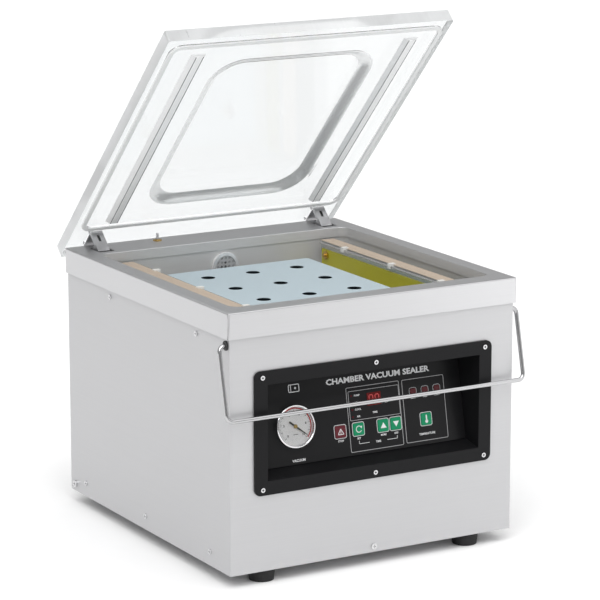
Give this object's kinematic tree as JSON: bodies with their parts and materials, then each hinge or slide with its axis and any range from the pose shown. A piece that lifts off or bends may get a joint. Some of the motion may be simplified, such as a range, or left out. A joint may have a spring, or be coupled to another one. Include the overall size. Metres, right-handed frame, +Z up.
{
  "type": "vacuum sealer",
  "caption": "Steel tabletop chamber vacuum sealer with a hinged clear lid, lifting seal bars, perforated filler plate, recessed dial and key panel, and a swinging wire bail.",
  "frame": {"origin": "on the floor under the middle of the cabinet, midway between its side panels and between its front and rear panels", "axes": "+X to the right along the front, +Y from the front to the rear where the lid is hinged, +Z up; the lid is open at rest"},
  "size_m": [0.4676, 0.5304, 0.7197],
  "materials": {
    "deck_steel": "fine brushed",
    "body_steel": "fine brushed",
    "chamber_steel": "satin",
    "tray_steel": "satin",
    "screw_steel": "bright",
    "foot_rubber": "moulded",
    "housing_plastic": "fine grain",
    "panel_film": "satin film",
    "display_red": "tinted",
    "lamp_red": "domed",
    "gauge_ring": "polished",
    "dial_white": "printed",
    "gauge_glass": "clear",
    "needle_brass": "polished",
    "key_red": "satin",
    "key_green": "satin",
    "bush_plastic": "moulded",
    "bail_wire": "polished",
    "hinge_steel": "satin",
    "spring_steel": "wound wire",
    "lid_acrylic": "clear, polished edges",
    "gasket_silicone": "soft",
    "strip_silicone": "soft",
    "bar_aluminium": "drawn",
    "ribbon_terminals": "turned",
    "seal_tape": "coated glass cloth",
    "insulation_board": "glass laminate",
    "rod_chrome": "polished",
    "clip_white": "moulded",
    "cylinder_aluminium": "turned",
    "plate_plastic": "cut board",
    "port_chrome": "polished",
    "grille_steel": "punched",
    "hose_rubber": "reinforced",
    "bush_brass": "turned",
    "plunger_steel": "polished",
    "switch_plastic": "moulded",
    "pump_paint": "enamel",
    "motor_paint": "enamel",
    "fan_plastic": "moulded",
    "transformer_lamination": "varnished",
    "valve_brass": "turned",
    "board_green": "lacquered",
    "inlet_plastic": "moulded",
    "rocker_red": "moulded"
  },
  "bodies": {
    "cabinet": {"top_deck": "deck_steel", "chamber_tub": "chamber_steel", "front_panel": "body_steel", "side_panel_left": "body_steel", "side_panel_right": "body_steel", "rear_panel": "body_steel", "base_tray": "tray_steel", "cabinet_screws": "screw_steel", "feet": "foot_rubber", "control_housing": "housing_plastic", "control_panel": "panel_film", "display_window": "display_red", "indicator_lamps": "lamp_red", "gauge_case": "gauge_ring", "gauge_dial": "dial_white", "gauge_lens": "gauge_glass", "bail_bushes": "bush_plastic", "hinge_brackets": "hinge_steel", "hinge_pins": "hinge_steel", "lid_springs": "spring_steel", "lift_cylinders": "cylinder_aluminium", "vacuum_port": "port_chrome", "port_grille": "grille_steel", "vacuum_hose": "hose_rubber", "switch_bush": "bush_brass", "lid_microswitch": "switch_plastic", "vacuum_pump": "pump_paint", "pump_motor": "motor_paint", "transformer": "transformer_lamination", "release_valve": "valve_brass", "control_board": "board_green", "power_inlet": "inlet_plastic"},
    "lid": {"lid": "lid_acrylic", "lid_gasket": "gasket_silicone", "pressure_strips": "strip_silicone", "hinge_straps": "hinge_steel", "hinge_screws": "screw_steel"},
    "bail": {"bail": "bail_wire"},
    "spacer_plate": {"spacer_plate": "plate_plastic"},
    "switch_plunger": {"switch_plunger": "plunger_steel"},
    "stop_key": {"stop_key": "key_red"},
    "set_key": {"set_key": "key_green"},
    "up_key": {"up_key": "key_green"},
    "down_key": {"down_key": "key_green"},
    "temperature_key": {"temperature_key": "key_green"},
    "gauge_needle": {"gauge_needle": "needle_brass"},
    "power_rocker": {"power_rocker": "rocker_red"},
    "motor_fan": {"motor_fan": "fan_plastic"},
    "seal_bar_left": {"seal_bar_left": "bar_aluminium", "heating_ribbon_left": "ribbon_terminals", "seal_tape_left": "seal_tape", "insulation_board_left": "insulation_board", "bag_rod_left": "rod_chrome", "rod_clips_left": "clip_white"},
    "seal_bar_right": {"seal_bar_right": "bar_aluminium", "heating_ribbon_right": "ribbon_terminals", "seal_tape_right": "seal_tape", "insulation_board_right": "insulation_board", "bag_rod_right": "rod_chrome", "rod_clips_right": "clip_white"}
  },
  "joints": [
    {"name": "lid_hinge", "type": "hinge", "parent": "cabinet", "child": "lid", "pos_m": [0, 0.23, 0.3495], "axis": [1, 0, 0], "range_deg": [0, 45.6], "stiffness_Nm_per_rad": 4, "springref_deg": -114.59},
    {"name": "bail_pivot", "type": "hinge", "parent": "cabinet", "child": "bail", "pos_m": [0, -0.231, 0.329], "axis": [-1, 0, 0], "range_deg": [-4, 212]},
    {"name": "seal_bar_left_lift", "type": "slide", "parent": "cabinet", "child": "seal_bar_left", "axis": [0, 0, 1], "range_m": [0, 0.01]},
    {"name": "seal_bar_right_lift", "type": "slide", "parent": "cabinet", "child": "seal_bar_right", "axis": [0, 0, 1], "range_m": [0, 0.01]},
    {"name": "spacer_plate_lift", "type": "slide", "parent": "cabinet", "child": "spacer_plate", "axis": [0, 0, 1], "range_m": [0, 0.03]},
    {"name": "switch_plunger_slide", "type": "slide", "parent": "cabinet", "child": "switch_plunger", "axis": [0, 0, -1], "range_m": [0, 0.0094]},
    {"name": "gauge_needle_spin", "type": "hinge", "parent": "cabinet", "child": "gauge_needle", "pos_m": [-0.1056, -0.21143, 0.20084], "axis": [0, -0.9829, 0.1839], "range_deg": [0, 270], "stiffness_Nm_per_rad": 0.0002},
    {"name": "power_rocker_tilt", "type": "hinge", "parent": "cabinet", "child": "power_rocker", "pos_m": [-0.15, 0.237, 0.101], "axis": [-1, 0, 0], "range_deg": [0, 16]},
    {"name": "motor_fan_spin", "type": "hinge", "parent": "cabinet", "child": "motor_fan", "pos_m": [0.16, 0.1715, 0.0895], "axis": [1, 0, 0], "continuous": true},
    {"name": "stop_key_press", "type": "slide", "parent": "cabinet", "child": "stop_key", "axis": [0, 0.9829, -0.1839], "range_m": [0, 0.0008], "stiffness_N_per_m": 150},
    {"name": "set_key_press", "type": "slide", "parent": "cabinet", "child": "set_key", "axis": [0, 0.9829, -0.1839], "range_m": [0, 0.0008], "stiffness_N_per_m": 150},
    {"name": "up_key_press", "type": "slide", "parent": "cabinet", "child": "up_key", "axis": [0, 0.9829, -0.1839], "range_m": [0, 0.0008], "stiffness_N_per_m": 150},
    {"name": "down_key_press", "type": "slide", "parent": "cabinet", "child": "down_key", "axis": [0, 0.9829, -0.1839], "range_m": [0, 0.0008], "stiffness_N_per_m": 150},
    {"name": "temperature_key_press", "type": "slide", "parent": "cabinet", "child": "temperature_key", "axis": [0, 0.9829, -0.1839], "range_m": [0, 0.0008], "stiffness_N_per_m": 150}
  ],
  "couplings": [
    {"joint": "seal_bar_right_lift", "follows": "seal_bar_left_lift", "ratio": 1},
    {"joint": "switch_plunger_slide", "follows": "lid_hinge", "m_per_rad": 0.01181}
  ]
}
